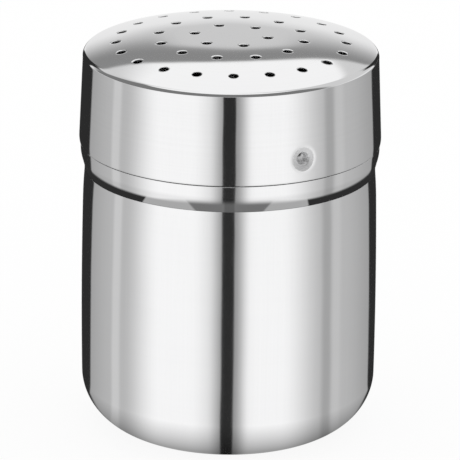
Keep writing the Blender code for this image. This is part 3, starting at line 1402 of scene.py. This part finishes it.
@dataclass
class Surround:
    """What the polished steel shows: light cards and dark flags that stand round the shaker.

    The low cards run down under the shaker as straight strips for someone at the camera, so
    they are placed by the slope of a mirror that would show them there. Angles are in degrees.
    """

    view: View
    cards: tuple[Card, ...] = (
        Card(-42.0, 12.0, 36.0, 1.07),
        Card(32.0, 8.0, 42.0, 1.06),
        Card(-98.0, 2.6, 4.0, 0.66),
        Card(82.5, 1.5, 6.0, 0.42),
        Card(93.0, 1.5, 6.0, 0.60),
        Card(0.8, 2.5, 14.0, 0.33),
        Card(-0.6, 4.3, 1.0, 0.027),
    )
    side_level: float = 0.54
    side_end_level: float = 0.39
    side_end: Span = (96.0, 146.0)
    flag_level: float = 0.027
    left_flag: Span = (-134.5, -137.5)
    right_flag: Span = (140.5, 143.5)
    flag_start: Span = (16.5, 19.0)
    flag_top: Span = (31.0, 26.0)
    wall_side: Span = (150.0, 158.0)
    wall_foot: Span = (-32.0, -26.0)
    wall_light: Span = (169.0, 173.0)
    foot_shrink: float = 0.37
    foot_dark: float = 1.02
    foot_start: float = 0.16
    foot_least: float = 0.34
    eye_level: Span = (-5.0, -1.0)
    front_azimuth: float = -24.0
    front_reach: Span = (110.0, 96.0)
    line_level: float = 0.21
    line_foot: Span = (-3.0, 1.0)
    line_top: Span = (59.0, 55.0)
    back_level: float = 0.887
    gap_level: float = 0.27
    gap_rise: Span = (6.5, 24.0)
    screen_level: float = 0.655
    screen_low: Span = (12.0, 13.5)
    screen_high: Span = (21.4, 18.8)
    screen_side: Span = (5.0, 1.6)
    top_level: float = 1.04
    top_edge: float = 28.4
    top_lean: float = 0.3
    top_most: float = 30.0
    top_blur: Span = (-1.0, 1.0)
    dim_share: float = 0.32
    dim_slant: float = 1.2
    dim_left: Span = (26.0, 13.0)
    dim_right: Span = (16.5, 13.0)
    dim_side: Span = (4.0, 12.0)

    def seen(self, graph: Graph, way: Term) -> Term:
        """The surround's level in a direction.

        Args:
            graph: The world's graph.
            way: The direction.

        Returns:
            A grey level, where 1 is white.
        """
        facing = graph.spin(way, -self.view.world_azimuth)
        ahead, across, up = graph.parts(facing)
        azimuth, behind = across.heading(ahead), across.heading(0 - ahead)
        elevation = up.math("ARCSINE").math("DEGREES")
        camera = (math.cos(self.view.elevation), 0.0, math.sin(self.view.elevation))
        half = graph.vector("ADD", {0: facing, 1: camera})
        low = self.low(*graph.parts(graph.vector("NORMALIZE", {0: half})))
        wall = between(self.flag_level, self.back_level, abs(azimuth).rise(*self.wall_light))
        to_wall = abs(azimuth).rise(*self.wall_side) * elevation.rise(*self.wall_foot)
        low = between(low, wall, to_wall)
        high = self.high(azimuth, behind, elevation)
        return between(low, high, elevation.rise(*self.eye_level))

    def low(self, ahead: Term, across: Term, up: Term) -> Term:
        """The surround below eye level, by the slope of the mirror that shows it.

        Args:
            ahead: How far that mirror faces the camera's side.
            across: How far it faces right.
            up: How far it faces up.

        Returns:
            A grey level.
        """
        shrink = (1 - self.foot_shrink) / ahead.hypot(across) + self.foot_shrink
        azimuth = (across * shrink).held(-1.0, 1.0).math("ARCSINE").math("DEGREES") * 2
        dark = (1 + self.foot_dark * self.foot_start) + up * self.foot_dark
        return self.strips(azimuth) * dark.held(self.foot_least, 1.0)

    def strips(self, azimuth: Term) -> Term:
        """The side walls, the cards before them and the flags beside the shaker.

        Args:
            azimuth: Direction from the camera's side.

        Returns:
            A grey level.
        """
        far = abs(azimuth).rise(*self.side_end)
        light = between(self.side_level, self.side_end_level, far)
        for card in self.cards:
            light = card.laid(light, azimuth)
        return between(light, self.flag_level, self.beside(azimuth))

    def beside(self, azimuth: Term) -> Term:
        """Where the flags beside the shaker stand, as a share."""
        return azimuth.rise(*self.left_flag) + azimuth.rise(*self.right_flag)

    def high(self, azimuth: Term, behind: Term, elevation: Term) -> Term:
        """The surround above eye level: the backdrop, the top light and the front's dark line.

        Args:
            azimuth: Direction from the camera's side.
            behind: Direction from the far side.
            elevation: Height above eye level.

        Returns:
            A grey level.
        """
        back = between(self.back_level, self.gap_level, elevation.rise(*self.gap_rise))
        screen = elevation.rise(*self.screen_low) * elevation.rise(*self.screen_high)
        back = between(back, self.screen_level, screen * abs(behind).rise(*self.screen_side))
        slant = elevation - abs(behind) * self.dim_slant
        dim = slant.rise(*self.dim_left) * (0 - behind).rise(*self.dim_side)
        dim = dim + slant.rise(*self.dim_right) * behind.rise(*self.dim_side)
        edge = (self.top_edge - behind * self.top_lean).math("MINIMUM", self.top_most)
        top = (1 - dim * self.dim_share) * self.top_level
        back = between(back, top, (elevation - edge).rise(*self.top_blur))
        flags = self.beside(azimuth) * abs(behind).rise(*self.flag_start)
        back = between(back, self.flag_level, flags * elevation.rise(*self.flag_top))
        line = elevation.rise(*self.line_foot) * elevation.rise(*self.line_top)
        front = between(self.top_level, self.line_level, line)
        return between(back, front, abs(azimuth - self.front_azimuth).rise(*self.front_reach))


@dataclass(frozen=True)
class GrooveReflectionCard:
    """A flat glowing ring of card round the shoulder, a painted reflection whose dark and grey
    parts only the groove above it shows.
    """

    view: View
    height: float = 63.53 * MM
    inner_radius: float = 34.02 * MM
    outer_radius: float = 39.4 * MM
    edge_radius: float = 36.6 * MM
    edge_half_blur: float = 0.4 * MM
    side_pull: float = 0.9 * MM
    side_reach: Span = (10.0, 38.0)
    middle_blur: float = 0.5 * MM
    middle_reach: Span = (34.0, 18.0)
    columns: int = 96
    level: float = 0.45
    patches: tuple[Card, ...] = (
        Card(0.0, 12.6, 1.5, 0.19, 1.7 / MM),
        Card(-64.0, 27.6, 1.0, 0.03, 0.1 / MM),
        Card(62.5, 29.8, 1.0, 0.03, -0.5 / MM),
        Card(0.0, 1.5, 1.0, 0.13),
    )

    def build(self) -> None:
        """Make the ring of painted reflection, which metal alone sees."""
        ring = bmesh.new()
        inner, outer = (
            [ring.verts.new(polar(radius, angle, self.height)) for angle in circle(self.columns)]
            for radius in (self.inner_radius, self.outer_radius)
        )
        for column in range(self.columns):
            ring.faces.new((inner[column - 1], outer[column - 1], outer[column], inner[column]))
        mesh = written("groove_collar", ring)
        mesh.materials.append(self.finish())
        card = new_object("groove_collar", mesh)
        for use in ("camera", "diffuse", "transmission", "volume_scatter", "shadow"):
            setattr(card, f"visible_{use}", False)

    def finish(self) -> Material:
        """The card's glowing levels of painted reflection, fading out towards its outer edge.

        Returns:
            The material.
        """
        material = bpy.data.materials.new("groove_collar")
        graph = emptied(material)
        place = graph.term("ShaderNodeTexCoord", output="Object")
        ahead, across, _ = graph.parts(graph.spin(place, -self.view.world_azimuth))
        azimuth, radius = across.heading(ahead), ahead.hypot(across)
        level = self.level
        for patch in self.patches:
            level = patch.laid(level, azimuth, radius - self.inner_radius)
        # Painted reflection: the card glows at these levels, and only glossy rays see it.
        card = graph.term("ShaderNodeEmission", None, {"Color": level})
        clear = graph.term("ShaderNodeBsdfTransparent")
        past = radius + abs(azimuth).rise(*self.side_reach) * self.side_pull - self.edge_radius
        blur = abs(azimuth).rise(*self.middle_reach) * self.middle_blur + self.edge_half_blur
        fade = (past / blur).rise(-1.0, 1.0)
        mixed = graph.term("ShaderNodeMixShader", None, {0: fade, 1: card, 2: clear})
        graph.add("ShaderNodeOutputMaterial", None, {"Surface": mixed})
        return material


@dataclass(frozen=True)
class Studio:
    """Floor, plain soft light, and what the polished steel shows, with a painted reflection in its
    groove.
    """

    view: View
    floor_size: float = 6.0
    floor_colour: tuple[float, float, float, float] = (0.98, 0.98, 0.98, 1.0)
    floor_plain: float = 0.88

    def build_world(self) -> None:
        """Make the surround for metal and the even light for all else."""
        world = bpy.data.worlds.new("studio")
        bpy.context.scene.world = world
        world.cycles.sampling_method = "NONE"
        graph = emptied(world)
        way = graph.term("ShaderNodeTexCoord", output="Generated")
        seen = Surround(self.view).seen(graph, way)
        glossy = graph.term("ShaderNodeLightPath", output="Is Glossy Ray")
        through = graph.term("ShaderNodeLightPath", output="Is Transmission Ray")
        light = between(1.0, seen, glossy.math("MAXIMUM", through))
        shader = graph.term("ShaderNodeBackground", None, {"Color": light})
        graph.add("ShaderNodeOutputWorld", None, {"Surface": shader})

    def build_floor(self) -> None:
        """Make the pale floor, which keeps the object's shadow."""
        half = self.floor_size / 2
        mesh = bpy.data.meshes.new("floor")
        corners = [(-half, -half, 0.0), (half, -half, 0.0), (half, half, 0.0), (-half, half, 0.0)]
        mesh.from_pydata(corners, [], [(0, 1, 2, 3)])
        floor = new_object("floor", mesh)
        material = bpy.data.materials.new("floor")
        graph = emptied(material)
        shaded = graph.term("ShaderNodeBsdfDiffuse", None, {"Color": self.floor_colour})
        plain = graph.term("ShaderNodeEmission", None, {"Strength": 1.0})
        seen = graph.term("ShaderNodeLightPath", output="Is Camera Ray") * self.floor_plain
        mixed = graph.term("ShaderNodeMixShader", None, {0: seen, 1: shaded, 2: plain})
        graph.add("ShaderNodeOutputMaterial", None, {"Surface": mixed})
        mesh.materials.append(material)
        floor.visible_glossy = False

    def build(self) -> None:
        """Make the floor, the painted reflection for the groove and the light."""
        self.build_floor()
        GrooveReflectionCard(self.view).build()
        self.build_world()
        LOG.info("studio: floor, collar and surround")


def main() -> None:
    """Build the shaker and its studio, and report each piece."""
    logging.basicConfig(level=logging.INFO, format="%(name)s: %(message)s")
    bpy.context.scene.view_settings.view_transform = "Standard"
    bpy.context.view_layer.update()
    view = View()
    view.build()
    turnery = Turnery()
    Can(turnery).build(CAN_FINISH)
    Lid(turnery).build(LID_FINISH)
    Studio(view).build()


if __name__ == "__main__":
    main()
